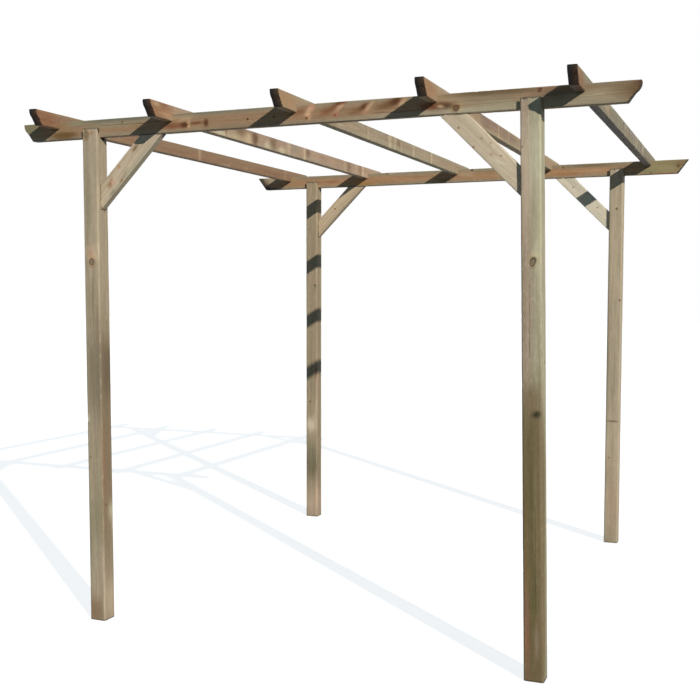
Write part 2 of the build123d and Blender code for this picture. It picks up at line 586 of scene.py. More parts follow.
def new_group(name, kind, inputs, outputs):
    """A node group whose sockets are given as names and kinds."""
    tree = bpy.data.node_groups.new(name, kind)
    for side, sockets in (("INPUT", inputs), ("OUTPUT", outputs)):
        for socket, sort in sockets.items():
            tree.interface.new_socket(socket, in_out=side, socket_type="NodeSocket" + sort)
    return tree


def bench_in(owner):
    """A bench in the emptied node tree of a material or world."""
    owner.use_nodes = True
    owner.node_tree.nodes.clear()
    return Bench(owner.node_tree)


# ---------------------------------------------------------------- softwood

def softwood_nodes():
    """Treated softwood: year rings round the pith, fibres, heart and sapwood, stains, knots and ends."""
    tree = new_group("treated_softwood", "ShaderNodeTree", {
        "Sapwood": "Color", "Heartwood": "Color", "Stain": "Color", "End grain": "Color", "Knot": "Color",
        "Along": "Vector", "Heart radius": "Float", "Heart edge": "Float", "Stain amount": "Float",
        "Ring width": "Float", "Ring contrast": "Float", "Cross bars": "Float", "Wick": "Float",
        "Weathering": "Float", "Arris wear": "Float", "Flecks": "Float",
    }, {"Colour": "Color", "Roughness": "Float", "Height": "Float"})
    wood = Bench(tree)
    given = wood.put("NodeGroupInput")
    grain = wood.attribute("grain")["Vector"]
    along = wood.parts(grain)[0]
    spot = wood.attribute("stain")
    knot = wood.attribute("knot")["Vector"]
    ahead, aside, here = wood.parts(knot)
    dark = wood.attribute("knot_dark")["Fac"]
    from_end, exposed, cracked = wood.parts(wood.attribute("ends")["Vector"])

    def fibres(lengthways, crossways, detail=2.0, rough=0.5):
        """Noise drawn out along the grain, finer as its two numbers grow."""
        scale = (lengthways, crossways, crossways)
        return wood.noise(wood.vector("MULTIPLY", grain, scale), detail, rough)

    def wander(noise, reach):
        """The noise as a shift of every point of the grain."""
        return wood.scaled(wood.vector("SUBTRACT", noise["Color"], (0.5, 0.5, 0.5)), reach)

    # year rings: distance from a pith that wanders a little along the timber
    sway = wood.vector("ADD", wander(fibres(0.8, 3), 0.026), wander(fibres(7, 70, 3), 0.0022))
    bent = wood.vector("ADD", grain, sway)
    radius = wood.vector("LENGTH", wood.vector("MULTIPLY", bent, (0, 1, 1)))
    grown = radius + along * 0.0035
    spread = wood.noise(wood.vector("MULTIPLY", wood.put("ShaderNodeCombineXYZ", X=grown)[0], (90, 0, 0)))[0]
    season = wood.math("FRACT", grown / given["Ring width"] + spread * 2.2)
    late = wood.step(season, 0.25, 0.86) * wood.fade(season, 0.92, 1.0)

    # fibres at three widths, and slow shades
    hair = fibres(26, 1150, 3, 0.6)[0]
    streak = fibres(3.2, 150, 4, 0.6)[0]
    broad = fibres(1.1, 17, 3, 0.55)[0]
    shade = fibres(0.9, 2.5)[0]

    edge = radius + (broad - 0.5) * 0.020 + (shade - 0.5) * 0.022 + (streak - 0.5) * 0.008
    turn, soft = given["Heart radius"], given["Heart edge"]
    colour = wood.mix(wood.fade(edge, turn - soft, turn + soft), given["Sapwood"], given["Heartwood"])

    # preservative that took unevenly
    blot = fibres(2.4, 34, 5, 0.62)[0] * 0.7 + shade * 0.3
    colour = wood.mix(wood.step(blot, 0.42, 0.66) * given["Stain amount"], colour, given["Stain"])

    # single stains and pale places, with a ragged edge
    ragged = spot["Alpha"] + (streak - 0.5) * 0.55 + (hair - 0.5) * 0.2
    ragged = wood.step(ragged, 0.12, 0.8) * wood.step(spot["Alpha"], 0.02, 0.2)
    colour = wood.mix(ragged, colour, spot["Color"])

    # pale bars that the stacking laths left across the faces, and blocks of tone between them
    lath = wood.put(
        "ShaderNodeTexVoronoi", {"voronoi_dimensions": "1D", "feature": "F1"},
        W=along / 0.135 + streak * 0.05, Scale=1.0, Randomness=0.75,
    )
    strength, breadth, level = wood.parts(lath["Color"])
    width = 0.035 + breadth * 0.06
    bar = wood.fade(lath["Distance"], width * 0.45, width)
    bar = bar * (wood.step(strength, 0.5, 1.2) * given["Cross bars"])
    single = wood.attribute("pale_bar")["Fac"] * wood.step(broad + streak * 0.5, 0.45, 0.8, 0.35, 1.0)
    pale = wood.mix(0.5, wood.dye(colour, (1.35, 1.35, 1.3)), tint("#d2bc95"))
    colour = wood.mix(wood.math("MAXIMUM", bar, single), colour, pale)
    block = 1.0 + (level - 0.5) * given["Cross bars"] * 0.26

    # rings and fibres darken or lighten whatever colour lies under them
    mottle = fibres(20, 62, 5, 0.7)[0]
    colour = wood.mix(late * given["Ring contrast"], colour, wood.dye(colour, (0.50, 0.40, 0.30)))
    tone = (0.86 + streak * 0.28) * (0.86 + hair * 0.28) * (0.84 + broad * 0.32)
    tone = tone * (0.86 + shade * 0.28) * (0.81 + mottle * 0.38) * block
    colour = wood.dye(colour, wood.put("ShaderNodeCombineColor", None, tone, tone, tone)[0])

    # pale flecks where fibres are lifted
    lifted = fibres(62, 330, 3, 0.6)[0] + (mottle - 0.5) * 0.35
    flecked = wood.step(lifted, 0.56, 0.7) * given["Flecks"]
    flecked = flecked * wood.step(spot["Alpha"], 0.3, 0.85, 1.0, 0.22)
    colour = wood.mix(flecked, colour, tint("#ddd5c0"))

    # knots: a ringed core, a dark rim, a warm halo, a flame behind and a pale crescent before
    span = wood.vector("LENGTH", wood.vector("MULTIPLY", knot, (1, 1, 0)))
    span = span + (fibres(160, 160, 3)[0] - 0.5) * 0.5
    core = wood.fade(span, 0.88, 1.08) * here
    rim = wood.step(span, 0.62, 0.94) * wood.fade(span, 1.0, 1.38) * (here * dark)
    halo = wood.fade(span, 0.9, 2.5) * here
    flame = wood.fade(ahead, -2.0, 0.5) * wood.fade(wood.math("ABSOLUTE", aside), 0.5, 2.1)
    flame = flame * (wood.fade(span, 2.0, 3.3) * here)
    crescent = wood.step(span, 1.0, 1.5) * wood.fade(span, 1.7, 2.7) * (wood.step(ahead, 0.2, 1.2) * here)
    colour = wood.mix(halo * 0.4, colour, wood.dye(colour, (0.86, 0.66, 0.47)))
    colour = wood.mix(flame * 0.55, colour, wood.dye(colour, (0.74, 0.54, 0.38)))
    colour = wood.mix(crescent * 0.6, colour, wood.dye(colour, (1.3, 1.26, 1.18)))
    ringed = 0.5 + wood.math("SINE", span * 21) * 0.5
    core_colour = wood.mix(ringed, given["Knot"], wood.dye(given["Knot"], (0.5, 0.42, 0.36)))
    colour = wood.mix(core * (0.4 + dark * 0.55), colour, core_colour)
    colour = wood.mix(rim, colour, tint("#23180f"))

    # pale arrises, partly worn and partly a painted highlight along the edges; checks; weathered tops
    rubbed = wood.step(exposed, 0.25, 0.95) * wood.step(fibres(17, 40, 4, 0.6)[0], 0.5, 0.64)
    rubbed = rubbed * wood.step(broad, 0.38, 0.6) * given["Arris wear"]
    colour = wood.mix(rubbed, colour, tint("#c9bb96"))
    colour = wood.mix(wood.step(cracked, 0.05, 0.5, 0.0, 0.85), colour, tint("#1c150e"))
    facing = wood.put("ShaderNodeNewGeometry")["True Normal"]
    weathered = wood.step(wood.parts(facing)[2], 0.55, 0.95) * given["Weathering"]
    weathered = weathered * wood.step(broad, 0.2, 0.7, 0.55, 1.0)
    colour = wood.mix(weathered, colour, wood.mix(streak, tint("#6d6a5c"), tint("#a39c88")))

    # sawn ends drink the preservative and turn dark, a little way up the faces too; the near-black colour of
    # the ends is partly painted shade
    cut = wood.step(wood.math("ABSOLUTE", wood.vector("DOT_PRODUCT", facing, given["Along"])), 0.3, 0.55)
    _, bent_a, bent_b = wood.parts(bent)
    spoke = wood.put("ShaderNodeCombineXYZ", X=wood.math("ARCTAN2", bent_b, bent_a) * 5.5)[0]
    star = wood.fade(wood.math("ABSOLUTE", wood.noise(spoke, 1)[0] - 0.5), 0.0, 0.018) * cut
    sawn_end_and_shade_colour = wood.mix(late, given["End grain"], wood.dye(given["End grain"], (0.55, 0.5, 0.45)))
    sawn_end_and_shade_colour = wood.mix(hair * 0.16, sawn_end_and_shade_colour, tint("#5b5240"))
    colour = wood.mix(cut, colour, wood.mix(ragged, sawn_end_and_shade_colour, spot["Color"]))
    colour = wood.mix(star * 0.7, colour, tint("#0d0a07"))
    drawn = (from_end + (streak - 0.5) * 0.03) / given["Wick"]
    wicked = wood.fade(drawn, 0.2, 1.0) * wood.step(given["Wick"], 0.0005, 0.002)
    colour = wood.mix(wicked * 0.8, colour, given["End grain"])

    # soil and splashes at the foot
    height = wood.parts(wood.put("ShaderNodeTexCoord")["Object"])[2]
    soiled = wood.fade(height + (broad - 0.5) * 0.25, 0.0, 0.16) * 0.2
    colour = wood.mix(soiled, colour, tint("#6a604a"))

    relief = late * 0.10 + hair * 0.20 + streak * 0.18 + core * (ringed * 0.12) - rim * 0.25 - star * 0.5
    matt = 0.60 + streak * 0.22 - core * 0.10 + cut * 0.12
    wood.put("NodeGroupOutput", Colour=colour, Roughness=matt, Height=relief)
    return tree


softwood = softwood_nodes()
# the near-black colour of the sawn ends is dark end grain and partly painted shade
usual_look = dict(
    sapwood="#a39672", heartwood="#98765a", stain="#7d7355", end_grain="#151412", knot="#6f4a32",
    heart_radius=0.03, heart_edge=0.012, stain_amount=0.35, ring_width=0.0042, ring_contrast=0.5,
    cross_bars=0.0, wick=0.01, weathering=0.5, arris_wear=0.5, flecks=0.15,
)


def softwood_finish(name, along, look):
    """One timber's finish: the shared softwood with its own colours and cut."""
    material = bpy.data.materials.new(name)
    bench = bench_in(material)
    wood = bench.put("ShaderNodeGroup", {"node_tree": softwood}, Along=Vector(along).normalized())
    for key, value in {**usual_look, **look}.items():
        socket = wood.node.inputs[key.replace("_", " ").capitalize()]
        socket.default_value = (*tint(value), 1) if isinstance(value, str) else value
    bump = bench.put("ShaderNodeBump", Height=wood["Height"], Distance=1.0 * MM, Strength=0.8)
    shader = bench.put(
        "ShaderNodeBsdfPrincipled", Base_Color=wood["Colour"], Roughness=wood["Roughness"],
        Normal=bump[0], Specular_IOR_Level=0.25,
    )
    bench.put("ShaderNodeOutputMaterial", Surface=shader[0])
    return material


# ---------------------------------------------------------------- the timbers

# Along, across and up run up, right and back on a post; right, back and up on a beam; back, left and
# up on a rafter; up the slope, back and square to both on a brace.

def post_of(corner):
    """A post, along the line from the middle of its foot to the middle of its top."""
    name = "post_" + corner
    points = node_points(name)
    top = points[points[:, 2] > points[:, 2].max() - touching]
    foot = points[points[:, 2] < touching]
    shift = (top.min(0) + top.max(0) - foot.min(0) - foot.max(0)) / 2
    return Timber(name, (shift[0] / shift[2], 0, 1), (1, 0, 0), (0, 1, 0))


def beam_of(row):
    return Timber("beam_" + row, (1, 0, 0), (0, 1, 0), (0, 0, 1))


def rafter_of(number):
    name = f"rafter_{number}"
    across = widest_side(name)
    across = across * -np.sign(across[0])
    return Timber(name, (across[1], -across[0], 0), across, (0, 0, 1))


def brace_of(corner):
    lean = 1 if corner.endswith("left") else -1
    along = np.array([lean, 0, 1]) / math.sqrt(2)
    return Timber("brace_" + corner, along, (0, 1, 0), np.cross(along, (0, 1, 0)))


corners = ("front_left", "front_right", "rear_left", "rear_right")
posts = [post_of(corner) for corner in corners]
braces = [brace_of(corner) for corner in corners]
beams = [beam_of(row) for row in ("front", "rear")]
rafters = [rafter_of(number) for number in range(1, 6)]


# ---------------------------------------------------------------- screws

def screw_places():
    """Each screw's timber, where its head sits and which way it faces."""
    found = []
    for rafter in rafters:
        for s0, s1, *_ in rafter.voids:
            found.append((rafter, rafter.place((s0 + s1) / 2, 0, rafter.depth / 2), (0, 0, 1)))
    for brace in braces:
        lower = FACES[brace.lower_face][1]
        for s in (brace_screw_inset, brace.length - brace_screw_inset):
            for a in (-brace_screw_offset, brace_screw_offset):
                spot = brace.place(s, a, lower * brace.depth / 2)
                found.append((brace, spot, brace.axes[2] * lower))
    for post in posts:
        for a in (-post_screw_offset, post_screw_offset):
            s = (post.voids[0][0] + post.length) / 2
            found.append((post, post.place(s, a, post.depth / 2), (0, 1, 0)))
    return found


def screw_head_shape():
    """A countersunk head one unit across, with a cross recess."""
    turns = [2 * math.pi * k / head_sides for k in range(head_sides)]

    def cross(angle):
        off = abs((angle + math.pi / 4) % (math.pi / 2) - math.pi / 4)
        return min(0.30 / math.cos(off), 0.065 / max(math.sin(off), 1e-6))

    rings = [[level] * head_sides for level in ((0.27, -0.34), (0.49, -0.07), (0.50, -0.035), (0.475, 0.0))]
    rings += [[(cross(t) * share, z) for t in turns] for share, z in ((1, -0.012), (0.62, -0.17))]
    shape = bmesh.new()
    rows = [
        [shape.verts.new((r * math.cos(t), r * math.sin(t), z)) for (r, z), t in zip(ring, turns)]
        for ring in rings
    ]
    for lower, upper in zip(rows, rows[1:]):
        for k in range(head_sides):
            after = (k + 1) % head_sides
            shape.faces.new((lower[k], lower[after], upper[after], upper[k]))
    shape.faces.new(rows[0][::-1])
    shape.faces.new(rows[-1])
    mesh = bpy.data.meshes.new("screw_head_shape")
    shape.to_mesh(mesh)
    shape.free()
    return bpy.data.objects.new("screw_head_shape", mesh)


def screw_nodes():
    """Sets one screw head on every marked point, facing out of the timber, its recess turned at random."""
    tree = new_group("set_screws", "GeometryNodeTree", {
        "Places": "Geometry", "Screw head": "Object", "Head diameter": "Float", "Seed": "Int",
        "Finish": "Material",
    }, {"Screws": "Geometry"})
    bench = Bench(tree)
    given = bench.put("NodeGroupInput")
    head = bench.put("GeometryNodeObjectInfo", Object=given["Screw head"])
    facing = bench.put("GeometryNodeInputNamedAttribute", {"data_type": "FLOAT_VECTOR"}, Name="facing")
    stand = bench.put("FunctionNodeAlignRotationToVector", {"axis": "Z"}, Vector=facing["Attribute"])
    chance = bench.put("FunctionNodeRandomValue", {"data_type": "FLOAT"}, Seed=given["Seed"])
    turn = bench.put("FunctionNodeAxisAngleToRotation", Axis=(0, 0, 1), Angle=chance[1] * (math.pi / 2))
    turned = bench.put(
        "FunctionNodeRotateRotation", {"rotation_space": "LOCAL"}, Rotation=stand[0], Rotate_By=turn[0]
    )
    heads = bench.put(
        "GeometryNodeInstanceOnPoints", Points=given["Places"], Instance=head["Geometry"],
        Rotation=turned[0], Scale=given["Head diameter"],
    )
    real = bench.put("GeometryNodeRealizeInstances", Geometry=heads[0])
    painted = bench.put("GeometryNodeSetMaterial", Geometry=real[0], Material=given["Finish"])
    bench.put("NodeGroupOutput", Screws=painted[0])
    return tree


def screw_finish():
    """Zinc-plated steel, dulled, with rust creeping from the recess."""
    material = bpy.data.materials.new("dulled_screw_steel")
    bench = bench_in(material)
    place = bench.put("ShaderNodeTexCoord")["Object"]
    cloud = bench.noise(bench.scaled(place, 420.0), 4, 0.6)[0]
    fleck = bench.noise(bench.scaled(place, 1600.0))[0]
    rust = bench.step(cloud + fleck * 0.4, 0.72, 0.86)
    colour = bench.mix(rust, bench.mix(cloud, tint("#8d8a7e"), tint("#b3ab93")), tint("#5e3a22"))
    bump = bench.put("ShaderNodeBump", Height=fleck, Distance=0.15 * MM, Strength=0.6)
    shader = bench.put(
        "ShaderNodeBsdfPrincipled", Base_Color=colour, Normal=bump[0],
        Roughness=0.38 + rust * 0.4, Metallic=0.9 - rust * 0.85,
    )
    bench.put("ShaderNodeOutputMaterial", Surface=shader[0])
    return material


def make_screws():
    """All the screws as one piece."""
    heads = screw_head_shape()
    places = bpy.data.meshes.new("screw_places")
    sunk = [p - np.array(out) * head_sink for _, p, out in all_screws]
    places.from_pydata([tuple(p) for p in sunk], [], [])
    note(places, "facing", "FLOAT_VECTOR", np.array([out for *_, out in all_screws]))
    marker = put_in_scene("screw_places", places)
    setting = marker.modifiers.new("set_screws", "NODES")
    setting.node_group = screw_nodes()
    sockets = setting.node_group.interface.items_tree
    values = {"Screw head": heads, "Head diameter": screw_head, "Seed": 7, "Finish": screw_finish()}
    for name, value in values.items():
        setting[sockets[name].identifier] = value
    evaluated = marker.evaluated_get(bpy.context.evaluated_depsgraph_get())
    mesh = bpy.data.meshes.new_from_object(evaluated)
    mesh.name = "screws"
    bpy.data.objects.remove(marker)
    bpy.data.objects.remove(heads)
    mesh.set_sharp_from_angle(angle=math.radians(30))
    screws = put_in_scene("screws", mesh)
    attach(screws, "root")


all_screws = screw_places()


# ---------------------------------------------------------------- each timber's own wood

# Places and sizes are in mm, from the timber's lower, left or front end and from its middle line.
# pith      where the tree's middle lay, across and up
# face      where the face that is seen most lies, and how deep its patches go
# knots     face, place along, place across that face, radius, rise of the branch, darkness of its rim
# patches   colour, middle (along, across, up), half sizes in the same order, strength, and on some
#           the tilt from along towards up, in degrees; a patch on the face seen most leaves out the
#           place and the half size through that face
# dents     middle (along, across, up), half size, depth
# checks    face, start, end, place across that face, depth
# bars      pale bars where a lath lay: middle, width, strength
# look      what differs from the usual look
woods = {
    "post_front_left": dict(
        seed=21, pith=(-9, 17), face=(-47, 20),
        knots=[
            ("b-", 1960, 0, 14, 0.5, 0.55), ("b-", 2640, -20, 15, 0.4, 0.3), ("b-", 905, -27, 3.5, 0.3, 0.5),
            ("a+", 2240, 12, 6, 0.3, 0.5), ("a+", 640, -18, 5, 0.3, 0.7),
        ],
        patches=[
            ("#8d785c", 900, 52, 0, 1000, 16, 90, 0.75), ("#cfb295", 2016, 0, 44, 60, 0.85),
            ("#bb9071", 2004, -8, 24, 16, 0.6), ("#b07e5c", 2647, 14, -47, 13, 12, 14, 0.6),
            ("#8e8468", 2300, -14, -47, 330, 20, 30, 0.55), ("#75644d", 1370, 47, 0, 150, 14, 90, 0.9),
            ("#8a7d66", 1330, 34, -47, 190, 22, 30, 0.6), ("#98745a", 760, 47, -30, 330, 10, 16, 0.5),
            ("#8a7355", 1780, 6, 150, 9, 0.55), ("#8c7e66", 1330, -4, 330, 60, 0.65),
            ("#c3b394", 2110, 36, -40, 330, 14, 60, 0.6), ("#9c8d72", 420, -36, -47, 260, 16, 30, 0.6),
            ("#987b60", 50, -14, -47, 100, 60, 16, 0.75), ("#c6b092", 80, 50, 0, 150, 12, 90, 0.9),
            ("#d8cba8", 1104, -42, -46, 32, 15, 14, 0.95), ("#5d4c38", 1086, -44, -46, 12, 12, 14, 0.8),
            ("#999070", 570, 8, 190, 50, 0.6), ("#a8977c", 880, -18, 130, 40, 0.45),
            ("#d3c5a2", 596, 46, 30, 50, 12, 26, 0.8), ("#8f8068", 1640, 30, 160, 14, 0.5),
            ("#cbbd9c", 500, 47, 40, 60, 10, 12, 0.7),
        ],
        dents=[(1103, -42, -47, 11, 2.4), (318, 40, -46, 8, 1.8)],
        checks=[("b-", 1490, 1905, -14, 5), ("a+", 230, 610, 9, 5), ("a-", 1600, 2280, -6, 7)],
        look=dict(
            sapwood="#b7a58a", heartwood="#af9780", knot="#8d765d", heart_radius=0.046, ring_width=0.0037,
            ring_contrast=0.22, arris_wear=0.6, flecks=0.2,
        ),
    ),
    "post_front_right": dict(
        seed=22, pith=(-30, -18), face=(-47, 20),
        knots=[
            ("b-", 1930, 6, 11, 1.1, 0.75), ("b-", 2454, -36, 3, 0.2, 0.7), ("b-", 2057, -47, 7, 0.5, 0.2),
            ("a+", 1480, 8, 6, 0.2, 0.6),
        ],
        patches=[
            ("#c9c4a4", 1965, 20, -47, 60, 16, 30, 0.75), ("#73613e", 330, 4, -46, 620, 90, 70, 0.97),
            ("#726240", 960, 4, -46, 400, 90, 70, 0.97), ("#7d7251", 1210, -30, -47, 60, 30, 30, 0.6),
            ("#8c7a60", 330, 36, -48, 330, 12, 30, 0.4), ("#96614a", 210, -28, -47, 170, 9, 30, 0.6),
            ("#c6bb98", 2120, 36, -47, 420, 20, 30, 0.6), ("#c8b297", 2330, -24, 330, 34, 0.75),
            ("#ccc6a8", 2420, 22, 170, 30, 0.6), ("#8e7a5e", 1300, -6, 60, 30, 0.7),
            ("#605836", 820, -6, 330, 11, 0.75), ("#8b7c58", 760, 14, 360, 9, 0.7),
            ("#8f6c52", 300, -33, 230, 8, 0.8), ("#96836a", 190, 16, 80, 12, 0.75),
            ("#5f5a36", 420, 4, 150, 12, 0.65), ("#8d7e60", 960, 38, 480, 8, 0.7),
            ("#191d0b", 1240, 18, 12, 16, 1.0), ("#2a2d16", 1248, 26, 9, 12, 0.9),
        ],
        dents=[(1690, -46, -46, 9, 1.8), (2330, 46, -46, 7, 1.6)],
        checks=[("b-", 1480, 1860, -8, 5), ("b-", 300, 830, 12, 6), ("a-", 700, 1500, 4, 7)],
        look=dict(
            sapwood="#b4ab8d", heartwood="#b09a82", knot="#8f8268", heart_radius=0.044, heart_edge=0.014,
            ring_width=0.0044, ring_contrast=0.22, arris_wear=0.6, flecks=0.4,
        ),
    ),
    "post_rear_left": dict(
        seed=23, pith=(14, -11), face=(-47, 30),
        knots=[("b-", 1859, 30, 6, 0.2, 0.9), ("b-", 930, -12, 6, 0.3, 0.4), ("b-", 2300, -20, 4, 0.2, 0.5)],
        patches=[
            ("#847a60", 440, 0, -40, 190, 70, 60, 0.9), ("#8f6a52", 1165, 38, -47, 95, 8, 14, 0.8),
            ("#9a8b6c", 1350, -14, 420, 26, 0.5), ("#cbb797", 850, 36, 150, 16, 0.65),
            ("#7c8266", 1840, 34, -47, 34, 12, 12, 0.7), ("#d6c3a7", 742, -8, -47, 60, 44, 20, 0.85),
            ("#6f6449", 405, 0, -47, 60, 70, 20, 0.5), ("#c2a78e", 90, 0, 0, 150, 80, 80, 0.95),
            ("#d3b497", 150, 40, -40, 150, 10, 20, 0.6),
        ],
        checks=[("b-", 980, 1320, -4, 5)],
        look=dict(
            sapwood="#aa977a", heartwood="#9b8167", heart_radius=0.034, heart_edge=0.012, ring_contrast=0.22,
            arris_wear=0.7, flecks=0.2,
        ),
    ),
    "post_rear_right": dict(
        seed=24, pith=(-22, 9), face=(-47, 20),
        knots=[("b-", 2393, 5, 6, 0.2, 0.7), ("b-", 1747, 36, 5, 0.2, 0.7), ("b-", 620, -20, 4, 0.3, 0.5)],
        patches=[
            ("#74654e", 881, 2, 7, 44, 0.85), ("#9d8f75", 1350, -40, -47, 600, 14, 30, 0.7),
            ("#b89b80", 300, 4, -30, 420, 60, 60, 0.6),
        ],
        checks=[("b-", 1050, 1520, 9, 5)],
        look=dict(
            sapwood="#bdab8f", heartwood="#b0977a", heart_radius=0.045, heart_edge=0.014, ring_contrast=0.18,
            arris_wear=0.5,
        ),
    ),
    "beam_front": dict(
        seed=11, pith=(-13, -3), face=(-22, 18),
        knots=[
            ("a-", 1022, -11, 8, 0.3, 0.6), ("a-", 1146, -9, 5, 0.4, 0.1), ("a-", 1382, -5, 5, 0.2, 0.9),
            ("a-", 1530, -4, 6, 0.2, 0.6), ("a-", 1706, -19, 5, 0.2, 0.6), ("a-", 1858, -14, 5, 0.2, 0.1),
            ("a-", 2008, 12, 6, 0.3, 0.1), ("a-", 2174, 24, 7, 0.4, 0.15), ("a-", 2460, -17, 12, 0.4, 0.55),
            ("a-", 2850, 28, 6, 0.6, 0.6), ("a-", 640, 22, 4, 0.2, 0.3),
        ],
        patches=[
            ("#8f6242", 950, -12, 80, 20, 0.85), ("#5d381f", 1014, -12, 22, 13, 1.0),
            ("#cfab86", 1044, -8, 11, 26, 0.9), ("#c0a07c", 1010, 14, 44, 9, 0.8, 10),
            ("#7d5432", 1086, -7, 40, 9, 0.95), ("#6b4427", 1144, -9, 15, 22, 1.0),
            ("#ba9d7c", 965, -22, 37, 110, 16, 16, 0.9), ("#a88159", 190, -22, 26, 140, 20, 24, 0.7),
            ("#8a8362", 46, -22, 22, 70, 20, 44, 0.95), ("#735833", 265, -22, -26, 110, 20, 26, 0.85),
            ("#a59878", 350, -22, 38, 70, 20, 14, 0.8), ("#7c7a65", 640, -22, 46, 330, 20, 18, 0.95),
            ("#a39479", 560, -22, 14, 230, 20, 14, 0.8), ("#85806a", 1230, -22, 46, 420, 20, 12, 0.85),
            ("#9c8468", 1330, -22, -36, 160, 20, 16, 0.75), ("#936a4b", 1668, -22, 12, 54, 20, 24, 0.7, 16),
            ("#c08f70", 1734, 30, 20, 22, 0.9, -30), ("#d8b18b", 1718, 10, 13, 30, 0.95, -34),
            ("#c99c7a", 1722, -18, 12, 14, 0.9), ("#8c6040", 1812, 2, 56, 26, 0.7, 14),
            ("#8a5d3d", 1862, 25, 38, 11, 0.85, 18), ("#d3a986", 1884, 21, 11, 34, 1.0, -50),
            ("#6b4227", 1888, -22, 43, 36, 20, 9, 1.0, 4), ("#b9826a", 1860, -12, 16, 16, 0.85),
            ("#8a6645", 1962, -4, 56, 24, 0.7, 10), ("#6f482a", 2011, 15, 30, 15, 1.0, 24),
            ("#d3ae87", 2036, 14, 11, 34, 1.0, -44), ("#ba8a6a", 2016, -14, 30, 8, 0.8),
            ("#86633f", 2112, 12, 60, 26, 0.75, 10), ("#633e23", 2170, 30, 36, 18, 1.0, 20),
            ("#cfa983", 2204, 22, 12, 30, 1.0, -40), ("#a7967a", 2070, -22, -39, 230, 20, 14, 0.8),
            ("#bda583", 2425, -22, 20, 110, 20, 30, 0.9), ("#74401f", 2346, -9, 66, 20, 1.0, -8),
            ("#683b20", 2412, -8, 54, 19, 1.0, -6), ("#45260f", 2430, -10, 34, 12, 1.0, -6),
            ("#d3b288", 2390, -10, 15, 6, 1.0, -8), ("#9c7d52", 2460, -17, 22, 20, 0.9),
            # the near-black patch at 2950 along is painted shade, deepening the shadow that rafter 5 casts on
            # the front face
            ("#3f362f", 2950, -22, 16, 90, 20, 30, 0.85), ("#b4a98d", 2560, -22, -38, 270, 20, 18, 0.9),
            ("#735d40", 2640, -22, 40, 250, 20, 20, 0.9), ("#99886c", 2640, -22, 6, 130, 20, 22, 0.8),
            ("#a3967a", 2700, -22, -22, 150, 20, 18, 0.8), ("#9a7b5e", 2880, -22, 36, 80, 20, 14, 0.7),
            ("#a7987b", 3120, -22, -8, 170, 20, 36, 0.92), ("#97734f", 3060, -22, 28, 90, 20, 8, 0.6),
            ("#a2957b", 3120, -22, -38, 150, 20, 18, 0.85), ("#8f826a", 3130, -22, 40, 110, 20, 14, 0.7),
            ("#8a7557", 3205, -10, 8, 60, 60, 36, 0.75), ("#6f5233", 3282, 0, 2, 60, 60, 50, 0.97),
            ("#4c3320", 3300, -10, 36, 22, 60, 16, 0.9),
        ],
        dents=[(2560, -22, 44, 8, 1.6)],
        checks=[("a-", 500, 930, 13, 5), ("a-", 2060, 2330, -20, 4), ("a+", 900, 1500, 6, 6)],
        look=dict(
            sapwood="#a18f75", heartwood="#a88767", stain="#8a7350", heart_radius=0.031, heart_edge=0.011,
            stain_amount=0.3, wick=0.004, ring_width=0.0046, ring_contrast=0.4,
        ),
    ),
    "beam_rear": dict(
        seed=12, pith=(-12, -4), face=(-22, 20),
        knots=[
            ("a-", 1106, 40, 4, 0.2, 0.8), ("a-", 1777, 36, 5.5, 0.2, 1.0), ("a-", 2451, 24, 4, 0.2, 0.8),
            ("a-", 3242, 2, 5, 0.2, 0.5), ("a-", 3062, -36, 4, 0.2, 0.5), ("a-", 2140, -6, 6, 0.3, 0.3),
        ],
        patches=[
            ("#b5a385", 100, 22, 66, 28, 0.95), ("#8c7a5c", 84, 12, 12, 20, 0.7),
            ("#151412", 46, 7, 120, 27, 1.0, -53.6), ("#1a1815", 96, -46, 90, 14, 1.0),
            ("#ad9471", 250, 12, 170, 30, 0.5), ("#cfc09c", 2130, 8, 150, 44, 0.8),
            ("#7f6c50", 2640, 34, 210, 16, 0.75), ("#a2744c", 2480, -22, 190, 22, 0.6),
            ("#776546", 1560, -26, 70, 20, 0.7), ("#a09168", 3160, 10, 170, 60, 0.95),
            ("#b07d52", 3160, -46, 200, 5, 0.7), ("#8c7150", 3268, 18, 46, 26, 0.8),
            ("#6f4f33", 3246, 4, 13, 14, 0.8), ("#8b8a63", 3040, -24, 60, 16, 0.6),
            ("#a97c42", 914, -28, 110, 16, 0.7), ("#a87352", 646, -6, 70, 16, 0.7),
            ("#bda183", 1734, 10, 90, 24, 0.6), ("#c8ab84", 1139, 38, 26, 8, 0.6),
            ("#a8925c", 322, 33, 44, 12, 0.5), ("#8f876a", 1600, 46, 1100, 8, 0.6),
            ("#86725a", 2880, 8, 90, 16, 0.5),
        ],
        checks=[("a-", 1180, 1560, 9, 4)],
        look=dict(
            sapwood="#a29176", heartwood="#af8762", heart_radius=0.03, heart_edge=0.012, ring_width=0.005,
            ring_contrast=0.4,
        ),
    ),
    "rafter_1": dict(
        seed=31, pith=(4, -8), face=(-22, 20), knots=[("a-", 1320, -22, 4, 0.2, 0.4)],
        patches=[
            ("#9b6f50", 40, -22, 0, 170, 30, 60, 0.9), ("#ab977c", 540, -8, 130, 40, 0.7),
            ("#8c7863", 1900, -22, -38, 1300, 12, 9, 0.6), ("#938168", 1700, -22, 36, 1500, 12, 8, 0.55),
            ("#b39a7c", 2050, -24, 60, 8, 0.6), ("#b0906e", 2335, -20, 50, 8, 0.6),
        ],
        bars=[(1681, 30, 0.6), (2998, 36, 0.35)],
        look=dict(
            sapwood="#997b5f", heartwood="#987458", cross_bars=0.1, ring_contrast=0.35, stain_amount=0.15,
        ),
    ),
    "rafter_2": dict(
        seed=32, pith=(-3, 6), face=(-22, 20), knots=[("a-", 2210, 16, 4, 0.2, 0.4)],
        patches=[
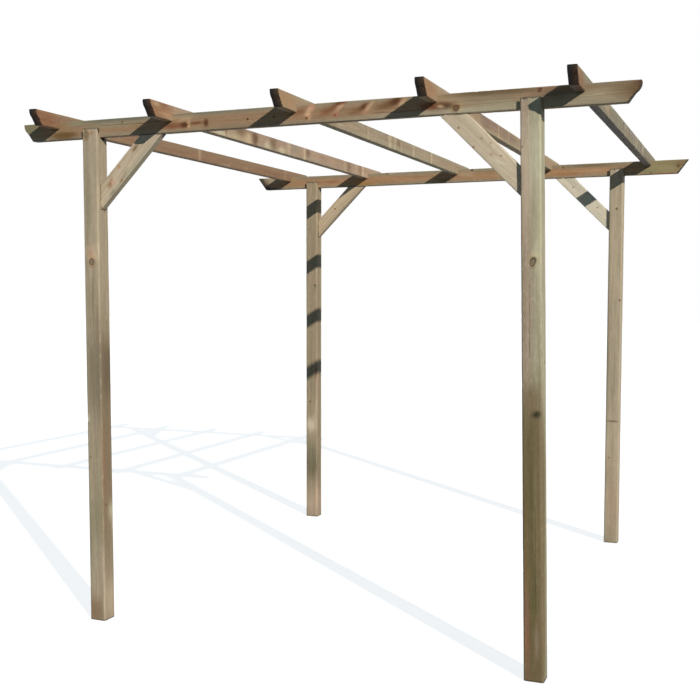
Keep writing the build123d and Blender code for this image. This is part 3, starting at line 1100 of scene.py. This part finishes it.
            ("#a17755", 60, -22, 0, 190, 30, 60, 0.9), ("#cfad8a", 62, 24, 36, 11, 0.7),
            ("#c09a7a", 150, -16, 54, 11, 0.6), ("#8d5f47", 130, 30, 50, 9, 0.6),
            ("#9a7b52", 560, 12, 200, 40, 0.85), ("#d6c7a8", 745, -29, 85, 20, 0.9),
            ("#9a5c40", 804, -6, 11, 34, 0.75), ("#c6b28e", 930, -24, 90, 30, 0.9),
            ("#8e6f52", 1010, 18, 90, 30, 0.95), ("#d8bd98", 1092, -18, 60, 40, 0.95),
            ("#7c5c42", 1172, 2, 44, 50, 0.95), ("#d5c5a3", 1352, -20, 60, 28, 0.9),
            ("#8d7257", 1424, 4, 60, 46, 0.8), ("#d8c4a0", 1556, -22, 60, 24, 0.9),
            ("#a3947c", 1750, 16, 110, 34, 0.7), ("#8e745a", 1966, 12, 44, 36, 0.85),
            ("#987c60", 2722, 4, 52, 50, 0.8), ("#9c8064", 2958, 4, 34, 50, 0.75),
            ("#a88e80", 1900, -22, 36, 1200, 12, 9, 0.6),
        ],
        bars=[(1660, 46, 0.6), (1910, 30, 0.9), (2645, 60, 0.8), (2865, 40, 0.65), (3012, 36, 0.9)],
        look=dict(
            sapwood="#b7a086", heartwood="#ba9a7f", cross_bars=0.3, ring_contrast=0.3, stain_amount=0.15,
        ),
    ),
    "rafter_3": dict(
        seed=33, pith=(2, 3), face=(-22, 20), knots=[("a-", 1840, 6, 3, 0.2, 0.5)],
        patches=[
            ("#b08d68", 60, -22, 0, 190, 30, 60, 0.9), ("#a2784f", 560, 8, 190, 50, 0.9),
            ("#b9aa8d", 800, -16, 110, 30, 0.6), ("#a48a70", 1182, 10, 14, 26, 0.6),
            ("#9f8369", 1520, 6, 30, 34, 0.55), ("#917459", 1762, 8, 40, 30, 0.7),
            ("#9c846c", 2404, -4, 22, 40, 0.6), ("#a08c7a", 1600, -22, 36, 900, 12, 9, 0.5),
        ],
        bars=[
            (1211, 16, 0.6), (1591, 52, 0.9), (1686, 24, 0.85), (1806, 20, 0.45), (2058, 34, 0.9),
            (2451, 34, 0.95), (2988, 30, 0.4),
        ],
        look=dict(
            sapwood="#ae9f83", heartwood="#b0977a", cross_bars=0.2, ring_contrast=0.35, stain_amount=0.15,
        ),
    ),
    "rafter_4": dict(
        seed=34, pith=(-4, 5), face=(-22, 20), knots=[("a-", 1240, 12, 4, 0.2, 0.4)],
        patches=[
            ("#ad8560", 50, -22, 0, 170, 30, 60, 0.9), ("#d2c09e", 790, -26, 150, 22, 0.85),
            ("#a4856a", 1330, 12, 420, 34, 0.75), ("#c9b48f", 1647, -24, 44, 12, 0.6),
            ("#cbc29f", 2380, 0, 330, 60, 0.85), ("#9b8168", 1100, -22, 34, 220, 14, 12, 0.6),
            ("#87705b", 1150, 14, 100, 44, 0.85), ("#937966", 1300, 26, 220, 30, 0.75),
            ("#947d67", 1780, 10, 360, 44, 0.65),
        ],
        bars=[(1453, 26, 0.8), (1716, 24, 0.6), (2130, 26, 0.5), (2610, 26, 0.5)],
        look=dict(
            sapwood="#b3a081", heartwood="#b09474", cross_bars=0.3, ring_contrast=0.35, stain_amount=0.2,
        ),
    ),
    "rafter_5": dict(
        seed=35, pith=(3, -2), face=(-22, 20), knots=[("a-", 2090, 8, 4, 0.2, 0.4)],
        patches=[
            ("#9a7350", 50, -22, -10, 170, 30, 60, 0.85), ("#b3a486", 820, 8, 160, 30, 0.6),
            ("#a3825c", 947, -3, 40, 30, 0.6), ("#c4bba6", 1060, -22, 34, 130, 14, 10, 0.6),
            ("#b98c68", 2182, 18, 26, 14, 0.6), ("#73664d", 2760, -22, -34, 330, 14, 16, 0.85),
            # the near-black strip at 1600 along, on the underside, is painted shade
            ("#2f2420", 1600, 0, -44, 2600, 90, 8, 0.97), ("#75645c", 2014, 10, 28, 44, 0.9),
            ("#a8a28c", 2060, 10, 24, 44, 0.8), ("#85706a", 2118, 14, 26, 40, 0.85),
            ("#787061", 2465, 10, 32, 44, 0.85), ("#7f6f66", 2735, 14, 34, 40, 0.8),
            ("#7d7466", 2330, 8, 28, 44, 0.85), ("#7a6c62", 1560, 8, 30, 44, 0.85),
            ("#a39b84", 1650, 8, 28, 44, 0.7), ("#857f6c", 1290, 8, 34, 44, 0.7),
            ("#c39a80", 1772, 4, 22, 30, 0.75), ("#948a82", 1850, -22, 24, 240, 14, 16, 0.6),
            ("#bcac92", 2572, 4, 30, 44, 0.85), ("#b3a289", 2250, 4, 30, 44, 0.75),
        ],
        bars=[(1700, 16, 0.4), (1905, 22, 0.55), (2000, 16, 0.4), (2182, 26, 0.6), (2594, 22, 0.5)],
        look=dict(
            sapwood="#8e8870", heartwood="#8f8167", cross_bars=0.5, ring_contrast=0.4, stain_amount=0.3,
            stain="#7b755e",
        ),
    ),
    "brace_front_left": dict(
        seed=41, pith=(74, 14), face=(-22, 20),
        knots=[("a-", 137, 5, 9, 0.3, 0.1), ("a-", 205, -35, 6, 0.3, 0.15)],
        patches=[
            ("#8f7048", 380, 20, 32, 12, 0.8), ("#6f6a4c", 120, -40, 24, 12, 0.7),
            ("#c98f62", 243, 26, 15, 9, 0.7), ("#dcb498", 165, -2, 26, 12, 0.6),
            ("#b6ac93", 300, -40, 260, 11, 0.7), ("#b3a284", 120, 40, 110, 14, 0.6),
            ("#b88f74", 150, 8, 34, 12, 0.75, 30), ("#ad9a7c", 230, -26, 60, 9, 0.7, 14),
            # the pale strip at 300 along, on the lower face, is painted light that brightens the underside
            ("#d9c7aa", 330, -8, 70, 8, 0.7, 8), ("#ded0b0", 300, 6, -47, 330, 30, 8, 0.85),
        ],
        look=dict(
            sapwood="#cdb99c", heartwood="#d6bfa4", knot="#a98c6e", ring_contrast=0.3, stain_amount=0.15,
            flecks=0.3,
        ),
    ),
    "brace_front_right": dict(
        seed=42, pith=(86, -12), face=(-22, 20),
        knots=[
            ("a-", 446, 26, 4, 0.2, 0.35), ("a-", 330, -13, 3, 0.2, 0.45), ("a-", 282, -28, 3, 0.2, 0.3),
            ("a-", 329, 40, 4, 0.2, 0.5), ("a-", 243, 8, 3, 0.2, 0.3), ("a-", 205, -19, 3.5, 0.2, 0.35),
        ],
        patches=[
            ("#d8c8a8", 150, 20, 90, 20, 0.5), ("#bfb294", 330, 42, 260, 8, 0.4),
            # the pale strip at 300 along, on the upper face, is a painted highlight on the upper edge
            ("#e0ccae", 300, -20, -47, 320, 14, 5, 0.85), ("#c9a98c", 232, -4, 40, 8, 0.6, 20),
            ("#e2d2b4", 190, 6, 46, 7, 0.7, 24),
        ],
        look=dict(
            sapwood="#d6c3a6", heartwood="#d1b89c", knot="#8d7b54", ring_contrast=0.18, stain_amount=0.1,
        ),
    ),
    "brace_rear_left": dict(
        seed=43, pith=(68, 16), knots=[("a-", 260, 6, 5, 0.2, 0.5)],
        patches=[("#a89c84", 300, -22, -42, 300, 20, 10, 0.7)],
        look=dict(sapwood="#cab292", heartwood="#d0b292", ring_contrast=0.3, stain_amount=0.12),
    ),
    "brace_rear_right": dict(
        seed=44, pith=(80, -16), knots=[("a-", 410, 4, 4, 0.2, 0.5), ("a-", 180, -12, 4, 0.2, 0.5)],
        look=dict(sapwood="#dfd2b8", heartwood="#dac6ab", ring_contrast=0.18, stain_amount=0.1),
    ),
}


def full_patch(timber, colour, *row):
    """A patch with its middle and half sizes as s, a, b in metres, and its tilt in radians."""
    if len(row) < 7:
        s, place, half_s, half_place, *rest = row
        level, deep = woods[timber.name]["face"]
        if timber.is_post:
            middle, size = (s, place, level), (half_s, half_place, deep)
        else:
            middle, size = (s, level, place), (half_s, deep, half_place)
    else:
        middle, size, rest = row[:3], row[3:6], row[6:]
    strength, *tilt = rest
    return colour, [v * MM for v in middle], [v * MM for v in size], strength, math.radians(sum(tilt))


def make_timber(timber):
    """The finished piece that stands in for a timber's CAD node."""
    wood = woods[timber.name]
    seed = wood["seed"]
    pith = tuple(v * MM for v in wood["pith"])
    shown = ("b-", "a+") if timber.is_post else ("a-", timber.lower_face)
    branches = [
        Branch(timber, pith, face, s * MM, place * MM, radius * MM, rise, dark)
        for face, s, place, radius, rise, dark in wood["knots"]
    ]
    branches += hidden_branches(timber, pith, shown, np.random.default_rng(seed * 7 + 1))
    checks = [
        Check(seed + k, face, *(v * MM for v in sizes))
        for k, (face, *sizes) in enumerate(wood.get("checks", ()))
    ]
    patches = [full_patch(timber, *row) for row in wood.get("patches", ())]
    bars = [(middle * MM, width * MM, strength) for middle, width, strength in wood.get("bars", ())]
    dents = [[v * MM for v in dent] for dent in wood.get("dents", ())]
    screws = [timber.measure(p) for owner, p, _ in all_screws if owner is timber]
    piece = build_timber(timber, seed, pith, branches, checks, patches, bars, dents, screws)
    piece.data.materials.append(softwood_finish(timber.name + "_softwood", timber.axes[0], wood["look"]))
    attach(piece, "root")
    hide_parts(timber.name)


for timber in [*posts, *braces, *beams, *rafters]:
    make_timber(timber)
make_screws()


# ---------------------------------------------------------------- floor, light and camera

def unseen_or_seen(bench, unseen, seen):
    """One shader for light that falls on the scene, another for what is seen straight or in a gloss."""
    ray = bench.put("ShaderNodeLightPath")
    indirect = bench.math("MAXIMUM", ray["Is Glossy Ray"], ray["Is Transmission Ray"])
    direct = bench.math("MAXIMUM", ray["Is Camera Ray"], indirect)
    return bench.put("ShaderNodeMixShader", None, direct, unseen[0], seen[0])[0]


def make_floor():
    mesh = bpy.data.meshes.new("studio_floor")
    square = [(-1, -1), (1, -1), (1, 1), (-1, 1)]
    mesh.from_pydata([(x * floor_reach, y * floor_reach, 0) for x, y in square], [], [(0, 1, 2, 3)])
    floor = put_in_scene("studio_floor", mesh)
    material = bpy.data.materials.new("pale_studio_floor")
    bench = bench_in(material)
    pale = bench.put("ShaderNodeBsdfDiffuse", Color=(0.5, 0.5, 0.5, 1))
    glow = bench.put("ShaderNodeEmission", Color=(1, 1, 1, 1), Strength=0.7)
    bright = bench.put("ShaderNodeAddShader", None, pale[0], glow[0])
    dull = bench.put("ShaderNodeBsdfDiffuse", Color=(0.07, 0.07, 0.07, 1))
    bench.put("ShaderNodeOutputMaterial", Surface=unseen_or_seen(bench, dull, bright))
    mesh.materials.append(material)


def make_light():
    key = bpy.data.lights.new("key_light", "SUN")
    key.energy = 3.5
    key.color = (1.0, 0.975, 0.94)
    key.angle = math.radians(0.6)
    lamp = put_in_scene("key_light", key)
    lamp.rotation_euler = Vector((-1.08, 1.0, -0.65)).to_track_quat("-Z", "Y").to_euler()
    world = bpy.data.worlds.new("studio_air")
    bench = bench_in(world)
    # a cool weak fill from the front, and a broad neutral one from the rear left, opposite the key
    towards = bench.put("ShaderNodeTexCoord")["Generated"]
    side = bench.vector("DOT_PRODUCT", towards, Vector((-0.74, 0.62, 0.26)).normalized())
    soft = bench.mix(bench.step(side, 0.32, 0.95), (0.090, 0.180, 0.255), (1.3, 1.31, 1.31))
    fill = bench.put("ShaderNodeBackground", Color=soft, Strength=1.0)
    white = bench.put("ShaderNodeBackground", Color=(1, 1, 1, 1), Strength=1.0)
    bench.put("ShaderNodeOutputWorld", Surface=unseen_or_seen(bench, fill, white))
    bpy.context.scene.world = world


def make_camera():
    lens = bpy.data.cameras.new("camera")
    lens.sensor_width = 36
    lens.lens = 53.80
    lens.shift_x = 0.0203
    lens.shift_y = 0.0083
    camera = put_in_scene("camera", lens)
    camera.location = (2.1793, -6.2456, 1.7924)
    camera.rotation_euler = (math.pi / 2 - 0.05957, -0.00075, 0.39069)
    bpy.context.scene.camera = camera


make_floor()
make_light()
make_camera()
bpy.context.scene.view_settings.view_transform = "Standard"
